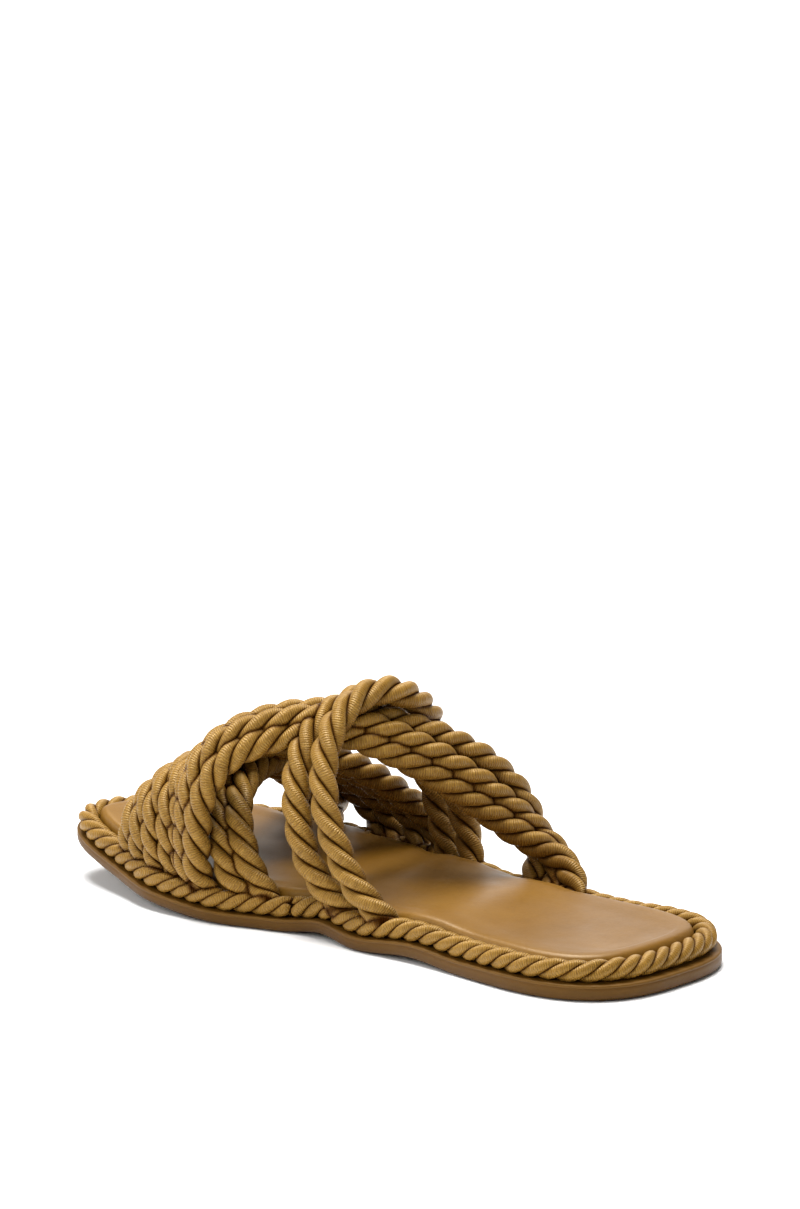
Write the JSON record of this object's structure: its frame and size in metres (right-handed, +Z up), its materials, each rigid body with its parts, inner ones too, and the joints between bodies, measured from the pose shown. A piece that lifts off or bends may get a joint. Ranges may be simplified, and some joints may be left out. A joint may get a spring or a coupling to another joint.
{
  "type": "rope slide sandal",
  "caption": "Right flat slide sandal with an upper of crossed twisted ropes, a padded leather footbed and a rope round the sole's rim.",
  "frame": {"origin": "centre of the footprint box, on the ground under the sole", "axes": "+Z up; +Y towards the heel, along the sandal's length; -Y towards the toe; +X towards the inner (medial) side of the right foot"},
  "size_m": [0.1196, 0.2715, 0.0901],
  "materials": {
    "outsole": "smooth brown moulded edge, satin",
    "insole": "smooth tan leather with a satin gloss",
    "edge_rope": "satin-wrapped twisted cord",
    "upper": "satin-wrapped twisted cord"
  },
  "bodies": {
    "root": {"outsole": "outsole", "insole": "insole", "edge_rope": "edge_rope", "upper": "upper"}
  },
  "joints": []
}
